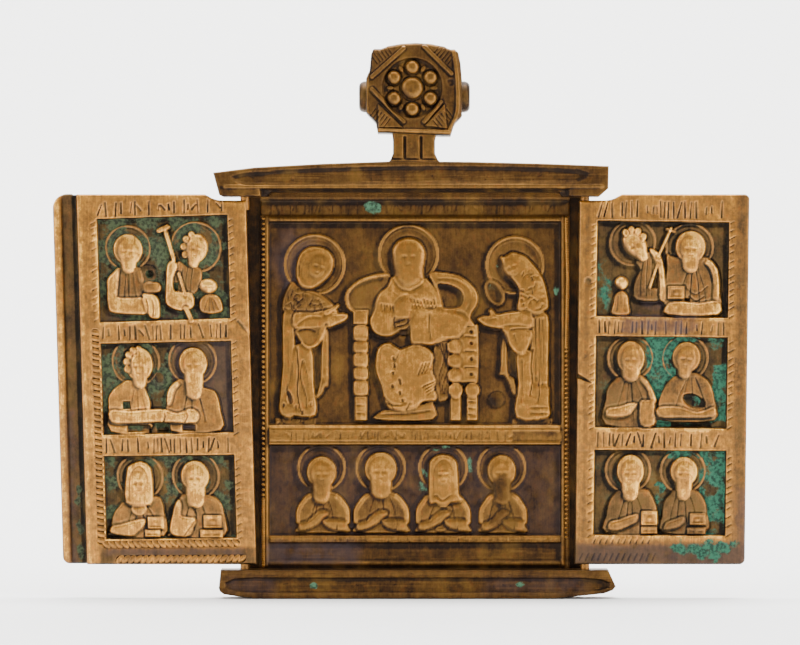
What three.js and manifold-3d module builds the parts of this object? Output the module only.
// A three-leaf folding icon cast in brass: a centre leaf between a cornice and a sill, with a bead
// finial, and two wings that turn on pins in the cornice and the sill.
// Millimetres. x runs to the right, z up, and the front faces -y. The origin is the middle of the
// sill's underside.
import * as THREE from 'three';
import { mergeVertices } from 'three/addons/utils/BufferGeometryUtils.js';
import Module from 'manifold-3d';

const wasm = await Module();
wasm.setup();

// ---- driving dimensions ----
const ledgeDepth = 8.4;          // cornice and sill, front to back
const leafThickness = 3.2;       // centre leaf at its frame
const leafRecess = 1.3;          // how far its fields lie below the frame
const leafHalfWidth = 33.4;
const flangeHalfWidth = 37.4;    // the thin flange behind the wings' inner edges
const wingThickness = 2.8;
const wingRecess = 1.2;
const foldGap = 0.3;             // air between the leaf's frame and a closed wing
const sillHeight = 6.2;
const wingBottom = 7.3;
const wingTop = 86.7;            // beyond the ends of the cornice
const wingNeckTop = 85.4;        // under the cornice
const corniceUnder = 86.2;       // underside at the ends
const corniceTop = 93.6;
const finialCentre = 109.4;
const cordBore = 3.6;            // through the finial from side to side
const hingeX = 36.5;
const pinRadius = 1.0;
const pinReach = 1.9;            // how far a pin enters its socket
const pinPlay = 0.35;
const castTolerance = 0.05;        // the finest step kept in the surface
const sink = 0.7;                // how deep a raised form is rooted in the field behind it

// ---- levels worked out from them ----
const back = ledgeDepth / 2;
const front = -ledgeDepth / 2;
const leafFace = back - leafThickness;
const leafField = leafFace + leafRecess;
const wingBack = leafFace - foldGap;
const wingFace = wingBack - wingThickness;
const wingField = wingFace + wingRecess;
const hingeY = (wingBack + wingFace) / 2;
const middleZ = (wingTop + wingBottom) / 2;

// ---- joining and cutting ----
function solid(geometry) {
  geometry.deleteAttribute('normal');
  geometry.deleteAttribute('uv');
  const merged = mergeVertices(geometry, 1e-4);
  const index = merged.index.array;
  return new wasm.Manifold(new wasm.Mesh({
    numProp: 3,
    vertProperties: new Float32Array(merged.attributes.position.array),
    triVerts: new Uint32Array(index),
  }));
}

const join = (forms) => forms.reduce((sum, form) => sum.add(form));

/** One casting as a mesh, with edges shorter than the tolerance of its surface taken out. */
function meshOf(manifold, name, material) {
  const mesh = manifold.asOriginal().simplify(castTolerance).getMesh();
  const geometry = new THREE.BufferGeometry();
  geometry.setAttribute('position', new THREE.BufferAttribute(mesh.vertProperties, 3));
  geometry.setIndex(new THREE.BufferAttribute(mesh.triVerts, 1));
  geometry.computeVertexNormals();
  const result = new THREE.Mesh(geometry, material);
  result.name = name;
  return result;
}

// ---- flat forms, drawn in x and z and thickened along y ----
function polygon(points) {
  return new THREE.Shape(points.map(([x, z]) => new THREE.Vector2(x, z)));
}

function rounded(points, steps = 2) {
  const path = new THREE.CatmullRomCurve3(
    points.map(([x, z]) => new THREE.Vector3(x, z, 0)), true, 'centripetal');
  const loop = path.getPoints(points.length * steps).slice(0, -1);
  return new THREE.Shape(loop.map((p) => new THREE.Vector2(p.x, p.y)));
}

function ellipse(x, z, width, height, tilt = 0, sides = 12) {
  const points = [];
  for (let i = 0; i < sides; i += 1) {
    const turn = (i + 0.5) * 2 * Math.PI / sides;
    const u = Math.cos(turn) * width / 2;
    const v = Math.sin(turn) * height / 2;
    points.push([x + u * Math.cos(tilt) - v * Math.sin(tilt), z + u * Math.sin(tilt) + v * Math.cos(tilt)]);
  }
  return polygon(points);
}

const box = (x0, z0, x1, z1) => polygon([[x0, z0], [x1, z0], [x1, z1], [x0, z1]]);

/** A bar of even width from one point to another, with blunt ends. */
function bar(x0, z0, x1, z1, width, endWidth = width) {
  const length = Math.hypot(x1 - x0, z1 - z0);
  const across = [-(z1 - z0) / length / 2, (x1 - x0) / length / 2];
  const side = (x, z, w) => [x + across[0] * w, z + across[1] * w];
  return polygon([side(x0, z0, -width), side(x1, z1, -endWidth), side(x1, z1, endWidth), side(x0, z0, width)]);
}

/** A slab between two depths; bevel takes the edge off its front and its back. */
function slab(shape, yBack, yFront, bevel = 0) {
  const geometry = new THREE.ExtrudeGeometry(shape, {
    depth: yBack - yFront - 2 * bevel,
    curveSegments: 6,
    bevelEnabled: bevel > 0,
    bevelThickness: bevel,
    bevelSize: bevel,
    bevelOffset: -bevel,
    bevelSegments: 1,
  });
  geometry.translate(0, 0, bevel);
  geometry.rotateX(Math.PI / 2);
  geometry.translate(0, yBack, 0);
  return solid(geometry);
}

/** A profile drawn in y and z, run along x from one end to the other. */
function moulding(profile, x0, x1) {
  const geometry = new THREE.ExtrudeGeometry(
    new THREE.Shape(profile.map(([y, z]) => new THREE.Vector2(y, z))), { depth: x1 - x0, bevelEnabled: false });
  const yzx = new THREE.Matrix4().makeBasis(
    new THREE.Vector3(0, 1, 0), new THREE.Vector3(0, 0, 1), new THREE.Vector3(1, 0, 0));
  geometry.applyMatrix4(yzx);
  geometry.translate(x0, 0, 0);
  return solid(geometry);
}

function upright(radius, z0, z1, x, y, sides = 12) {
  const geometry = new THREE.CylinderGeometry(radius, radius, z1 - z0, sides);
  geometry.rotateX(Math.PI / 2);
  geometry.translate(x, y, (z0 + z1) / 2);
  return solid(geometry);
}

/** Each corner of an outline, moved inward by a distance. */
function insetCorners(points, inset) {
  const count = points.length;
  const area = points.reduce((sum, p, i) => {
    const q = points[(i + 1) % count];
    return sum + p.x * q.y - q.x * p.y;
  }, 0);
  const turn = Math.sign(area);
  return points.map((p, i) => {
    const before = p.clone().sub(points[(i + count - 1) % count]).normalize();
    const after = points[(i + 1) % count].clone().sub(p).normalize();
    const inward = new THREE.Vector2(-before.y - after.y, before.x + after.x).normalize();
    return p.clone().addScaledVector(inward, turn * inset);
  });
}

/** A form rooted in the field and narrowing to its top, as a casting draws from its mould. */
function drafted(shape, yRoot, yTop, draft) {
  const depth = yRoot - yTop;
  const geometry = new THREE.ExtrudeGeometry(shape, { depth, bevelEnabled: false });
  const corners = shape.getPoints();
  const inner = insetCorners(corners, draft);
  const position = geometry.attributes.position;
  for (let i = 0; i < position.count; i += 1) {
    const nearest = corners.findIndex((c) => Math.hypot(c.x - position.getX(i), c.y - position.getY(i)) < 1e-4);
    if (position.getZ(i) > depth / 2) {
      position.setX(i, inner[nearest].x);
      position.setY(i, inner[nearest].y);
    }
  }
  geometry.rotateX(Math.PI / 2);
  geometry.translate(0, yRoot, 0);
  return solid(geometry);
}

/** A field to raise forms on: raise() gives a form of a given height standing on it. */
const fieldAt = (y) => ({
  y,
  raise: (shape, height, draft = 0.4) => (draft > 0
    ? drafted(shape, y + sink, y - height, draft)
    : slab(shape, y + sink, y - height)),
});

/** A rope moulding: a scalloped bar between two points, its lobes rising to a height. */
function rope(field, from, to, width, height, pitch = 1.5) {
  const [dx, dz] = [to[0] - from[0], to[1] - from[1]];
  const length = Math.hypot(dx, dz);
  const count = Math.round(length / pitch);
  const profile = [[0, -sink]];
  for (let i = 0; i < count; i += 1) {
    profile.push([(i + 0.02) * length / count, height * 0.4]);
    profile.push([(i + 0.5) * length / count, height]);
  }
  profile.push([length, height * 0.4]);
  profile.push([length, -sink]);
  const geometry = new THREE.ExtrudeGeometry(
    new THREE.Shape(profile.map(([t, h]) => new THREE.Vector2(t, h))), { depth: width, bevelEnabled: false });
  const along = new THREE.Vector3(dx / length, 0, dz / length);
  const out = new THREE.Vector3(0, -1, 0);
  const across = new THREE.Vector3().crossVectors(along, out);
  geometry.translate(0, 0, -width / 2);
  geometry.applyMatrix4(new THREE.Matrix4().makeBasis(along, out, across));
  geometry.translate(from[0], field.y, from[1]);
  return solid(geometry);
}

// ---- saints ----
function haloRing(field, x, z, radius, sides = 12) {
  const ring = ellipse(x, z, 2 * radius, 2 * radius, 0, sides);
  const inner = ellipse(x, z, 2 * radius - 1.3, 2 * radius - 1.3, 0, sides);
  ring.holes.push(new THREE.Path(inner.getPoints().reverse()));
  return field.raise(ring, 0.4, 0);
}

/** Hair as a row of small curls along the edge of a head, from one bearing to another. */
function curls(field, x, z, width, height, fromTurn, toTurn, count) {
  const forms = [];
  for (let i = 0; i < count; i += 1) {
    const turn = fromTurn + (toTurn - fromTurn) * i / (count - 1);
    const u = Math.cos(turn) * width / 2;
    const v = Math.sin(turn) * height / 2;
    forms.push(field.raise(ellipse(x + u, z + v, 1.5, 1.5, 0, 5), 0.75, 0));
  }
  return forms;
}

/** Head, neck and shoulders down to the foot of a field, with what the saint holds. */
function bust(field, saint) {
  const { x, foot = 0, head, halo, left = 4.6, right = 4.6, shoulder = 7.4, tilt = 0 } = saint;
  const chin = head.z - head.height / 2;
  const body = rounded([
    [x - 1.7, chin + 0.6], [x - left * 0.72, shoulder], [x - left, shoulder - 3], [x - left + 0.2, foot],
    [x + right - 0.2, foot], [x + right, shoulder - 3], [x + right * 0.72, shoulder], [x + 1.7, chin + 0.6],
  ]);
  const forms = [
    haloRing(field, halo.x ?? x, halo.z, halo.radius),
    field.raise(body, 0.75),
    field.raise(ellipse(head.x ?? x, head.z, head.width, head.height, tilt), 1.05, 0.4),
  ];
  if (saint.beard) {
    const { width, drop } = saint.beard;
    forms.push(field.raise(rounded([
      [x - width / 2, head.z], [x - width * 0.62, chin - drop * 0.5], [x, chin - drop],
      [x + width * 0.62, chin - drop * 0.5], [x + width / 2, head.z],
    ]), 1.0));
  }
  if (saint.veil) {
    const wide = head.width / 2 + 0.5;
    forms.push(field.raise(rounded([
      [x - wide, chin - 2], [x - wide, head.z], [x - wide * 0.7, head.z + head.height * 0.42],
      [x, head.z + head.height * 0.54], [x + wide * 0.7, head.z + head.height * 0.42],
      [x + wide, head.z], [x + wide, chin - 2], [x, chin - 2.6],
    ]), 0.9));
  }
  if (saint.curly) {
    const { from, to, count } = saint.curly;
    forms.push(...curls(field, head.x ?? x, head.z, head.width, head.height, from, to, count));
  }
  for (const arm of saint.arms ?? []) {
    forms.push(field.raise(bar(arm[0], arm[1], arm[2], arm[3], arm[4]), 1.05, 0));
  }
  if (saint.book) {
    const { at: [bx, bz], size: [bw, bh] } = saint.book;
    forms.push(field.raise(box(bx - bw / 2, bz - bh / 2, bx + bw / 2, bz + bh / 2), 0.95, 0));
  }
  return forms;
}

/** The Forerunner's cross-topped staff, in front of his bent arm, and the small chalice by him. */
function staffAndChalice(field, { top, bend, end, arm, child }) {
  const slope = (bend[0] - top[0]) / (top[1] - bend[1]);
  return [
    field.raise(bar(top[0], top[1], bend[0], bend[1], 0.9), 0.9, 0.2),
    field.raise(bar(bend[0], bend[1], end[0], end[1], 0.9, 1.3), 1.0, 0.2),
    field.raise(bar(top[0] - 1.1, top[1] - 0.9 - slope, top[0] + 1.1, top[1] - 0.9 + slope, 0.9), 0.9, 0.2),
    field.raise(rounded(arm), 1.05),
    field.raise(ellipse(child.x, child.z, child.head, child.head, 0, 8), 0.9),
    field.raise(rounded([
      [child.x - child.body / 2, child.foot], [child.x - child.body * 0.3, child.z - child.head * 0.55],
      [child.x + child.body * 0.3, child.z - child.head * 0.55], [child.x + child.body / 2, child.foot],
    ]), 0.8),
  ];
}

/** A standing saint turned to the throne with both hands held out; side is +1 facing right. */
function standingSaint(field, { heel, side, foot, headgear }) {
  const at = (u, z) => [heel + side * u, z];
  const haloZ = 71.6;
  const haloAt = at(7.7, haloZ);
  const mantle = rounded([
    at(0.2, foot), at(-0.2, 42.5), at(0.7, 50), at(0.4, 60.5), at(0.9, 64.5), at(2.4, 67.6),
    at(5.4, 68.3), at(7.6, 65.6), at(9.6, 62.6), at(9.2, 57.2), at(8.2, 54.6), at(6.7, 52.4),
    at(6.9, 47), at(7.2, foot),
  ], 1);
  const sleeve = rounded([
    at(4.2, 61.0), at(9.2, 61.6), at(9.4, 59.3), at(8.7, 56.2), at(7, 53.6), at(5.2, 53), at(3.9, 54.6),
  ], 1);
  const hands = rounded([
    at(9.1, 61.6), at(11.7, 62.3), at(13.6, 60.6), at(14.4, 59.6), at(13.4, 58.5), at(10.8, 58.1), at(9.1, 59),
  ], 1);
  const cape = rounded([
    at(0.6, 60.4), at(1.2, 65), at(3.4, 67.4), at(6.8, 65.8), at(8.6, 62), at(4.4, 60.4),
  ]);
  const hanging = rounded([at(9.3, 57.4), at(10.6, 57.2), at(10.3, 45.6), at(8.4, 43.4), at(9.1, 46)]);
  const folds = [2.2, 4.2].map((u) => field.raise(bar(...at(u, 58), ...at(u + 0.5, 41), 0.7), 0.95, 0.2));
  const forms = [
    haloRing(field, haloAt[0], haloAt[1], 6.3, 20),
    field.raise(mantle, 0.8),
    field.raise(cape, 1.0),
    field.raise(sleeve, 1.1),
    field.raise(hands, 1.0),
    field.raise(hanging, 0.7, 0.2),
    field.raise(box(...at(0.2, foot - 1.3), ...at(8.4, foot + 0.2)), 0.5, 0.2),
    ...folds,
  ];
  return [...forms, ...headgear(at)];
}

const veiledHead = (field) => (at) => [
  field.raise(ellipse(...at(7.4, 71.0), 6.6, 8.4, -0.35), 0.85, 0.3),
  field.raise(ellipse(...at(7.8, 70.8), 5.4, 7.6, -0.35), 1.1, 0.4),
];

const wildHead = (field) => (at) => [
  field.raise(ellipse(...at(5.8, 71.2), 9.0, 6.4, -0.5), 0.85, 0.3),
  field.raise(ellipse(...at(5.6, 69.6), 5.2, 8.2, 0.45), 1.1, 0.4),
];

// ---- the throne and Christ ----
const throne = { x: -0.6, arch: 14.3, springZ: 58.8, crownZ: 70.2, leftPost: -11.4, rightPost: 8.9, outerPost: 12.2 };

function throneBack(field) {
  const { x, arch, springZ, crownZ } = throne;
  const half = (side) => rounded([
    [x, crownZ - 3.2], [x, crownZ], [x + side * arch * 0.6, crownZ - 1.0], [x + side * arch, crownZ - 5.2],
    [x + side * arch * 0.9, crownZ - 9], [x + side * arch * 0.86, springZ - 0.6],
    [x + side * arch * 0.62, springZ - 0.6], [x + side * arch * 0.6, crownZ - 7.4],
  ]);
  const hollow = (side) => rounded([
    [x + side * 6.4, crownZ - 3.2], [x + side * 9.4, crownZ - 4], [x + side * 11, crownZ - 6.4],
    [x + side * 9, crownZ - 8.2], [x + side * 7, crownZ - 6.4],
  ]);
  return [-1, 1].map((side) => {
    const form = field.raise(half(side), 0.75);
    return form.subtract(slab(hollow(side), field.y - 0.3, field.y - 2));
  });
}

/** A turned post in outline: a square foot, a stack of round beads and a neck under the arch. */
function post(field, x, width, beads, top, foot) {
  const squareTop = foot + 4.6;
  const pitch = (top - squareTop) / beads;
  const edge = [[width / 2, foot], [width / 2, squareTop - 0.3]];
  for (let i = 0; i < beads; i += 1) {
    const z = squareTop + i * pitch;
    edge.push([width * 0.34, z], [width * 0.53, z + pitch * 0.28], [width * 0.53, z + pitch * 0.72]);
  }
  edge.push([width * 0.34, top]);
  const left = edge.map(([u, z]) => [x - u, z]);
  const right = [...edge].reverse().map(([u, z]) => [x + u, z]);
  return [field.raise(polygon([...right, ...left]), 0.95, 0.15)];
}

function christ(field) {
  const { x } = throne;
  const bodice = rounded([
    [x - 3.4, 69], [x - 5.3, 66.4], [x - 7.6, 63.6], [x - 8.9, 60.2], [x - 8.4, 57.6], [x - 6.4, 56.2],
    [x - 3.8, 56.4], [x + 5, 54.6], [x + 9, 56], [x + 9.4, 61], [x + 7, 65.8], [x + 4.4, 68.2], [x + 2.8, 69.2],
  ], 1);
  const rightArm = rounded([
    [x - 7.4, 63.4], [x - 8.7, 60], [x - 8, 57.4], [x - 5.2, 56.5], [x - 3.9, 58.4], [x - 4.4, 61.6], [x - 5.6, 64.6],
  ]);
  const hand = rounded([[x - 3.6, 60], [x - 1.2, 60.6], [x - 0.4, 63.8], [x - 1.6, 64.8], [x - 3.4, 63]]);
  const knees = rounded([
    [x - 7.5, 52.2], [x - 5.2, 54.6], [x - 2.7, 53.4], [x + 0.4, 54.3], [x + 3.8, 53.9], [x + 5.4, 50.4],
    [x + 6.2, 45.6], [x + 5.8, 42.8], [x + 1.6, 41.4], [x - 2, 40.6], [x - 5.2, 41], [x - 6.4, 43.4], [x - 7.6, 48],
  ], 1);
  const shin = (dx, dz, lean) => rounded([
    [x + dx - 2, dz], [x + dx + 1.4, dz + 0.8], [x + dx + 1.8 + lean, 44], [x + dx - 1 + lean, 42.4],
  ]);
  return [
    haloRing(field, x - 0.6, 73.9, 6.45, 20),
    field.raise(bodice, 0.9),
    field.raise(rightArm, 1.15),
    field.raise(hand, 1.15),
    field.raise(knees, 0.95),
    field.raise(shin(-3.8, 52.4, 0.8), 1.15),
    field.raise(shin(1.9, 52.2, 1.4), 1.15),
    field.raise(box(x + 0.2, 54.6, x + 5.6, 61.5), 1.15),
    field.raise(ellipse(x - 0.5, 73.3, 7.8, 9.4, 0, 16), 0.9, 0.3),
    field.raise(ellipse(x - 0.4, 72.6, 6.2, 8.2, 0, 16), 1.2, 0.45),
    field.raise(polygon([[x - 7.2, 38], [x + 3.9, 38], [x + 3.6, 40.2], [x - 6.4, 40.8]]), 0.7, 0.2),
  ];
}

// ---- the centre leaf ----
const bands = { topEdge: 82.0, middleTop: 37.2, middleFoot: 32.8, lowerFoot: 13.3, ropeFoot: 11.8, baseStep: 7.6 };

function centrePlate() {
  const w = leafHalfWidth;
  const whole = slab(box(-w, 3, w, corniceTop - 3), back, leafFace);
  const field = (z0, z1, inset = 1.9) => slab(box(-w + inset, z0, w - inset, z1), leafField, front);
  const step = (z0, z1) => slab(box(-w - 1, z0, w + 1, z1), leafFace + 0.7, front);
  const ropeBed = (side) => slab(
    box(side * (w - 2), sillHeight, side * (w + 1), bands.topEdge), leafFace + 0.6, front);
  const flange = slab(
    box(-flangeHalfWidth, sillHeight - 1, flangeHalfWidth, corniceUnder + 1), back, leafField + 0.4);
  return join([
    flange,
    whole
      .subtract(field(bands.middleTop, bands.topEdge - 1.1))
      .subtract(field(bands.lowerFoot, bands.middleFoot))
      .subtract(step(bands.topEdge, 85.6))
      .subtract(step(sillHeight, bands.ropeFoot))
      .subtract(ropeBed(-1))
      .subtract(ropeBed(1)),
    moulding([[back - 0.5, bands.baseStep - 2], [leafFace + 0.3, bands.baseStep - 2],
      [leafFace + 0.3, bands.baseStep], [leafFace + 0.8, bands.baseStep + 0.4], [back - 0.5, bands.baseStep + 0.4]], -w, w),
  ]);
}

function leafRopes() {
  const edge = leafHalfWidth - 1.0;
  const ground = { y: leafFace + 0.6 };
  return [-1, 1].map((side) => rope(
    ground, [side * edge, bands.ropeFoot], [side * edge, bands.topEdge], 1.6, 0.6, 2.0));
}

function lowerSaints() {
  const field = fieldAt(leafField);
  const foot = bands.lowerFoot;
  const base = { foot, shoulder: foot + 8, halo: { z: 27.3, radius: 5.3 } };
  return [
    ...bust(field, { ...base, x: -20.4, left: 5, right: 5.7, head: { z: 25, width: 5.6, height: 8.4 },
      beard: { width: 4.2, drop: 1 }, arms: [[-25, 15.6, -20.6, 17.2, 2.2], [-19.6, 16, -15, 15.6, 2.2]] }),
    ...bust(field, { ...base, x: -7.5, left: 5.4, right: 5.8, head: { z: 25, width: 6.2, height: 8.2 },
      beard: { width: 4.4, drop: 1.2 }, arms: [[-12, 15.4, -7.4, 16.6, 2.2], [-6.8, 16.6, -2, 15.6, 2.2]] }),
    ...bust(field, { ...base, x: 6.1, left: 5.6, right: 5.6, head: { z: 25.4, width: 5.6, height: 8 }, veil: true,
      arms: [[1.4, 15.2, 5.6, 17, 2.2], [6, 15.4, 11.2, 15.2, 2.4]] }),
    ...bust(field, { ...base, x: 18.6, left: 4.6, right: 5.6, head: { z: 25.6, width: 5.2, height: 8 },
      beard: { width: 4, drop: 2.4 }, book: { at: [20.8, 16.2], size: [4, 3.6] },
      arms: [[14.6, 15.2, 18, 16, 2.2]] }),
  ];
}

function deesis() {
  const field = fieldAt(leafField);
  const foot = bands.middleTop + 1.4;
  return [
    ...throneBack(field),
    ...post(field, throne.leftPost, 3.2, 5, 59, bands.middleTop),
    ...post(field, throne.rightPost, 3.2, 5, 57.6, bands.middleTop),
    ...post(field, throne.outerPost, 2.8, 5, 59, bands.middleTop),
    ...christ(field),
    ...standingSaint(field, { heel: -29, side: 1, foot, headgear: veiledHead(field) }),
    ...standingSaint(field, { heel: 29, side: -1, foot, headgear: wildHead(field) }),
  ];
}

/** The cornice: an arched top, splayed ends, a channel in its face and a roll along its lower edge. */
function cornice() {
  const left = -43.2;
  const right = 41.5;
  const shape = polygon([
    [left, 91.2], [left + 1.3, corniceUnder + 0.3], [left + 2, corniceUnder], [-33, corniceUnder], [-31.6, 87.1],
    [31.6, 87.1], [33, corniceUnder], [right - 2, corniceUnder], [right - 0.1, corniceUnder + 1.7],
    [right, 92.7], [28, 93.2], [12, corniceTop], [-5, corniceTop + 0.1], [-20, 93.2], [-34.6, 92.4], [left + 0.4, 91.5],
  ].reverse());
  const channel = polygon([[-36.6, 89.1], [34.6, 89.6], [34.6, 91.6], [12, 92.2], [-10, 92.1], [-36.6, 91]]);
  const undercut = [[front - 1, 86], [front + 0.9, 86], [front + 1.1, 87.6], [front + 0.35, 88], [front - 1, 88]];
  return slab(shape, back, front, 0.35)
    .subtract(slab(channel, front + 0.5, front - 1))
    .subtract(moulding(undercut, -33, 33));
}

/** The sill: a rim, a channel and a lower rim along its face, its ends rising off the foot. */
function sill() {
  const shape = polygon([
    [-42, 2.3], [-41.4, 1], [-35, 0], [31, 0], [41.7, 1.2], [43, 2.7], [41.4, sillHeight], [-41.6, sillHeight],
  ]);
  const shoulder = polygon([[-41, 3], [41, 3], [41, sillHeight + 1.5], [-41, sillHeight + 1.1]]);
  const channel = box(-38.4, 1.5, 39.4, 4.4);
  return slab(shape, back, front, 0.3)
    .add(slab(box(-34, 0, 30, 0.5), back, front + 0.2))
    .add(slab(shoulder, back, leafFace + 1.3))
    .subtract(slab(channel, front + 0.55, front - 1));
}

/** The bead finial on its neck, bored across for a cord, with a rosette on its front. */
function finial() {
  const axis = -0.6;                 // the rosette sits a little left of the neck
  const face = front - 0.3;
  const block = polygon([
    [-8.2, 99.8], [7.8, 99.2], [8.5, 101.8], [10.1, 103.4], [10.1, 111], [9.8, 114.6], [8.8, 118],
    [0, 119.1], [-8.6, 118.2], [-9.3, 117.3], [-9.7, 113.2], [-10.5, 111.4], [-10.5, 104.2], [-8.4, 102.1],
  ]);
  const neck = polygon([
    [-5.6, corniceTop - 0.8], [5.5, corniceTop - 0.8], [5.2, 93.8], [4.3, 95.4], [4.3, 98.4], [5, 100.4],
    [-5, 100.4], [-4.7, 98.4], [-4.7, 95.4], [-5.4, 93.9],
  ]);
  const tube = (x0, x1, radius) => {
    const geometry = new THREE.CylinderGeometry(radius, radius, x1 - x0, 12);
    geometry.rotateZ(Math.PI / 2);
    geometry.translate((x0 + x1) / 2, 0, finialCentre - 1.7);
    return solid(geometry);
  };
  const floor = fieldAt(face + 0.7);
  const at = (radius, turn) => [axis + radius * Math.cos(turn), finialCentre + radius * Math.sin(turn)];
  let form = slab(block, back, face, 0.5)
    .add(slab(neck, back - 0.6, front + 0.6))
    .add(tube(-12, 11.8, 3.35))
    .subtract(slab(ellipse(axis, finialCentre, 12.6, 12.6, 0, 16), face + 0.7, face - 1))
    .add(floor.raise(ellipse(axis, finialCentre, 4.9, 4.9, 0, 12), 1.0, 0.6));
  for (let i = 0; i < 6; i += 1) {
    form = form.add(floor.raise(ellipse(...at(4.5, (i + 0.5) * Math.PI / 3), 3.1, 3.1, 0, 8), 0.9, 0.4));
  }
  for (const groove of [-2.2, 1.3]) {
    form = form.subtract(slab(box(groove - 0.3, 94.8, groove + 0.3, 98.4), front + 1.1, front));
  }
  return form.subtract(tube(-13, 13, cordBore / 2));
}

function sockets() {
  const cuts = [];
  for (const side of [-1, 1]) {
    const radius = pinRadius + pinPlay;
    cuts.push(upright(radius, sillHeight - pinReach - pinPlay, sillHeight + 2, side * hingeX, hingeY));
    cuts.push(upright(radius, corniceUnder - 1, corniceUnder + pinReach + pinPlay, side * hingeX, hingeY));
  }
  return join(cuts);
}

function centreLeaf() {
  return join([centrePlate(), ...leafRopes(), ...lowerSaints(), ...deesis(), cornice(), sill(), finial()])
    .subtract(sockets());
}

// ---- the wings ----
/** A wing hangs a little out of true: lean shifts a form sideways with its height. */
function leaning(manifold, lean) {
  return manifold.warp((vertex) => {
    vertex[0] += lean * (vertex[2] - middleZ);
  });
}

/** Pins top and bottom on the turning axis, with the lug that carries each. */
function pins(side) {
  const x = side * hingeX;
  return [
    upright(pinRadius, sillHeight - pinReach, wingBottom + 2, x, hingeY),
    upright(pinRadius, wingNeckTop - 2, corniceUnder + pinReach, x, hingeY),
  ];
}

/** The plate of a wing with its three sunk registers; u is the distance from the turning axis. */
function wingPlate(side, { inner, outer, registers, pocketInner, pocketOuter, cornerCut }) {
  const x = (u) => side * (hingeX + u);
  const outline = polygon([
    [x(inner), wingBottom], [x(outer - cornerCut), wingBottom], [x(outer), wingBottom + cornerCut],
    [x(outer), wingTop - cornerCut], [x(outer - cornerCut), wingTop], [x(7.4), wingTop],
    [x(5.4), wingNeckTop + 0.2], [x(4), wingNeckTop], [x(inner), wingNeckTop],
  ]);
  let plate = slab(outline, wingBack, wingFace, 0.3);
  for (const [z0, z1] of registers) {
    plate = plate.subtract(slab(box(x(pocketInner), z0, x(pocketOuter), z1), wingField, wingFace - 1));
  }
  return plate;
}

const shifted = (forms, dx, dz) => forms.map((form) => form.translate([dx, 0, dz]));

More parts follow.
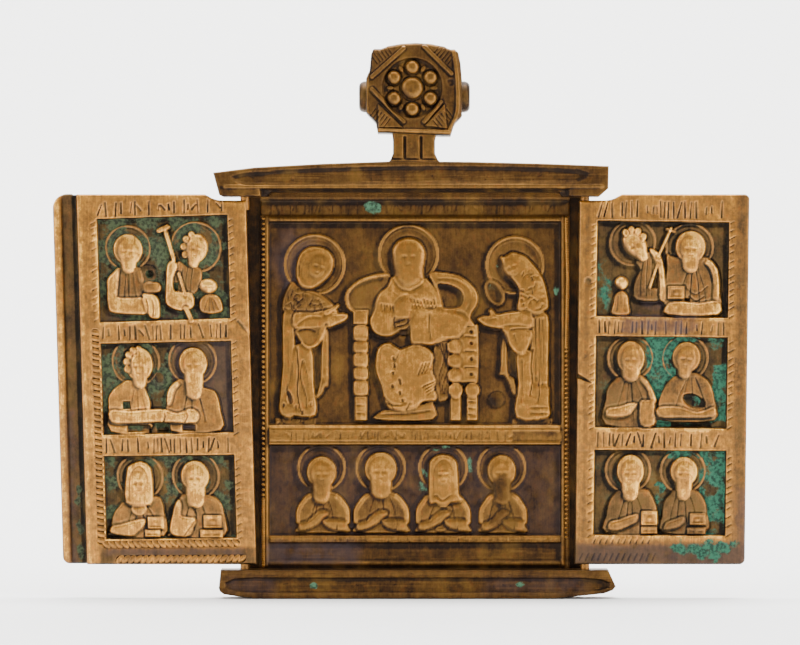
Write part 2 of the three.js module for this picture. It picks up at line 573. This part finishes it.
function leftWing() {
  const pocketInner = 2.85;
  const pocketOuter = 30.7;
  const outer = 35;
  const lipOuter = 40.4;
  const registers = [[12.9, 30.6], [35.4, 54.9], [59.7, 81.8]];
  const field = fieldAt(wingField);
  const origin = -(hingeX + pocketOuter);
  const plate = wingPlate(-1, { inner: -1.4, outer, registers, pocketInner, pocketOuter, cornerCut: 0.6 });
  const lipFace = 2 * hingeY - (wingFace - foldGap);
  const lipShape = polygon([
    [-hingeX - lipOuter, wingBottom + 1.5], [-hingeX - lipOuter + 1.5, wingBottom],
    [-hingeX - outer + 1.6, wingBottom], [-hingeX - outer + 1.6, wingTop],
    [-hingeX - lipOuter + 3, wingTop + 0.2], [-hingeX - lipOuter + 0.8, wingTop - 1], [-hingeX - lipOuter, wingTop - 3],
  ]);
  const groove = box(-hingeX - lipOuter + 1.7, wingBottom - 1, -hingeX - outer, wingTop + 1);
  const lip = slab(lipShape, lipFace + 1.3, lipFace, 0.25)
    .subtract(slab(groove, lipFace + 0.45, lipFace - 1))
    .add(slab(box(-hingeX - outer + 0.05, wingBottom + 0.3, -hingeX - outer + 1.6, wingTop - 0.3),
      lipFace + 1.2, wingBack - 1));
  const top = bust(field, { x: 6.5, foot: 1, left: 4.6, right: 4.2, shoulder: 10.2,
    head: { z: 14.9, width: 5.4, height: 7 }, halo: { z: 16.4, radius: 5.2 },
    arms: [[2.4, 3.2, 12.8, 3.2, 3.8]], book: { at: [11.6, 6.6], size: [3.2, 2.8] } })
    .concat(bust(field, { x: 19.2, foot: 1.4, left: 3.4, right: 2.6, shoulder: 9.4, tilt: -0.3,
      head: { x: 21.3, z: 15, width: 5.2, height: 7 }, halo: { x: 21.5, z: 15.6, radius: 5.4 },
      curly: { from: 2.4, to: 3.6, count: 3 } }))
    .concat(staffAndChalice(field, { top: [14.3, 19.6], bend: [16.2, 12.4], end: [18.6, 0.2],
      arm: [[14.4, 11.4], [16.2, 12], [15.6, 6.6], [18.4, 5.6], [20, 3], [18.2, 1.2], [14.6, 2.2], [13.4, 5]],
      child: { x: 23.5, z: 6.6, head: 4.2, body: 5, foot: 1 } }));
  const middle = bust(field, { x: 7.6, foot: 0.3, left: 6, right: 5.4, shoulder: 9,
    head: { x: 8, z: 13.9, width: 5, height: 8 }, halo: { x: 7.6, z: 15, radius: 5.2 },
    curly: { from: 2.3, to: 3.6, count: 3 }, arms: [[1.8, 3.6, 12.4, 3.4, 3]] })
    .concat(bust(field, { x: 19.3, foot: 0.3, left: 5.6, right: 5.4, shoulder: 8.2,
      head: { z: 15, width: 5.5, height: 6.4 }, halo: { z: 15, radius: 5.4 }, beard: { width: 4, drop: 5.4 },
      arms: [[12.2, 4.2, 18.6, 5.4, 2.6]] }));
  const bottom = bust(field, { x: 7.2, foot: 0.6, left: 5.6, right: 5, shoulder: 6.6,
    head: { z: 12.4, width: 5, height: 7.4 }, halo: { z: 13.4, radius: 5 }, veil: true,
    arms: [[1.6, 1.8, 7.8, 4, 2.3]], book: { at: [10.4, 3.4], size: [3.4, 2.8] } })
    .concat(bust(field, { x: 19, foot: 0.6, left: 5.4, right: 5.2, shoulder: 7.2,
      head: { z: 13.1, width: 5.5, height: 6 }, halo: { z: 12.9, radius: 5.2 }, beard: { width: 4.6, drop: 3.6 },
      book: { at: [22.6, 2.9], size: [3.8, 3] }, arms: [[14, 2.6, 18, 3.4, 2.6]] }));
  const ropes = [
    rope({ y: wingFace + 0.12 }, [origin - 1.1, registers[0][0]], [origin - 1.1, 46], 1.4, 0.28, 2.6),
    rope({ y: wingFace + 0.12 }, [origin, registers[0][0] - 1.2], [-hingeX - pocketInner, registers[0][0] - 1.2], 1.4, 0.28, 2.6),
  ];
  const relief = [
    ...shifted(bottom, origin, registers[0][0]),
    ...shifted(middle, origin, registers[1][0]),
    ...shifted(top, origin, registers[2][0]),
  ];
  return leaning(join([plate, lip, ...relief, ...ropes]), -0.029).add(join(pins(-1)));
}

function rightWing() {
  const pocketInner = 2.3;
  const pocketOuter = 30.4;
  const registers = [[13.6, 31.7], [36.6, 56.1], [60.4, 80.8]];
  const field = fieldAt(wingField);
  const origin = hingeX + pocketInner;
  const plate = wingPlate(1, { inner: -1.7, outer: 34.8, registers, pocketInner, pocketOuter, cornerCut: 0.9 });
  const top = bust(field, { x: 10.8, foot: 3, left: 2.9, right: 3.2, shoulder: 11, tilt: 0.5,
    head: { x: 7.2, z: 15.4, width: 5, height: 7.2 }, halo: { x: 7.6, z: 16, radius: 5.1 },
    curly: { from: 0.3, to: 2.0, count: 5 } })
    .concat(staffAndChalice(field, { top: [15.3, 19], bend: [12.7, 13.2], end: [10.6, 6.1],
      arm: [[12.4, 13.4], [14.1, 10.2], [14.2, 3.6], [8.4, 3.4], [8.2, 5.8], [12.2, 6.4]],
      child: { x: 4.7, z: 7.1, head: 3.4, body: 3.6, foot: 0.4 } }))
    .concat(bust(field, { x: 20.6, foot: 0.4, left: 4.8, right: 5, shoulder: 10.6,
      head: { x: 19.4, z: 15.2, width: 5.9, height: 6.6 }, halo: { x: 20.1, z: 14.9, radius: 5.2 },
      beard: { width: 4, drop: 2.6 }, arms: [[15.4, 2.4, 25.4, 2.4, 2.8]], book: { at: [16.9, 5.6], size: [3, 2.2] } }));
  const middle = bust(field, { x: 7.3, foot: 0.4, left: 5.2, right: 4.8, shoulder: 8.4,
    head: { z: 14.3, width: 5.2, height: 7.6 }, halo: { z: 14.8, radius: 5.2 },
    arms: [[2.4, 3.4, 8.8, 4.6, 2.6]] })
    .concat(bust(field, { x: 20.6, foot: 0.6, left: 4.6, right: 5.2, shoulder: 8.8,
      head: { x: 19.2, z: 14.4, width: 5.7, height: 7.4 }, halo: { x: 19.2, z: 14.7, radius: 5.2 },
      arms: [[12.6, 3.3, 25.8, 3, 2.6]] }));
  const bottom = bust(field, { x: 7.5, foot: 0.4, left: 4.8, right: 5.2, shoulder: 7,
    head: { z: 12.6, width: 5.1, height: 7.4 }, halo: { z: 13.7, radius: 5.1 }, beard: { width: 4.2, drop: 2 },
    book: { at: [11.4, 3.2], size: [3.8, 3] }, arms: [[3.4, 1.8, 8, 3.4, 2.2]] })
    .concat(bust(field, { x: 18.7, foot: 0.4, left: 4.8, right: 5, shoulder: 7.4,
      head: { z: 13.4, width: 5.1, height: 6 }, halo: { z: 13.7, radius: 5 }, beard: { width: 4, drop: 3.4 },
      book: { at: [21.8, 3], size: [3.6, 3] }, arms: [[14.6, 2, 18.6, 3.4, 2.2]] }));
  const ropes = [
    rope({ y: wingFace + 0.12 }, [origin, registers[0][0] - 1.2], [hingeX + pocketOuter, registers[0][0] - 1.2], 1.4, 0.28, 2.6),
  ];
  const relief = [
    ...shifted(bottom, origin, registers[0][0]),
    ...shifted(middle, origin, registers[1][0]),
    ...shifted(top, origin, registers[2][0]),
  ];
  return leaning(join([plate, ...relief, ...ropes]), 0.013).add(join(pins(1)));
}

// ---- materials and the three castings ----
const leafBrass = new THREE.MeshStandardMaterial({ color: 0x8a6228, roughness: 0.42, metalness: 0.85 });
const leftBrass = new THREE.MeshStandardMaterial({ color: 0xb98c5a, roughness: 0.45, metalness: 0.8 });
const rightBrass = new THREE.MeshStandardMaterial({ color: 0xb6895a, roughness: 0.45, metalness: 0.8 });

const group = new THREE.Group();
group.add(meshOf(centreLeaf(), 'centre_leaf', leafBrass));
group.add(meshOf(leftWing(), 'left_wing', leftBrass));
group.add(meshOf(rightWing(), 'right_wing', rightBrass));

export default group;
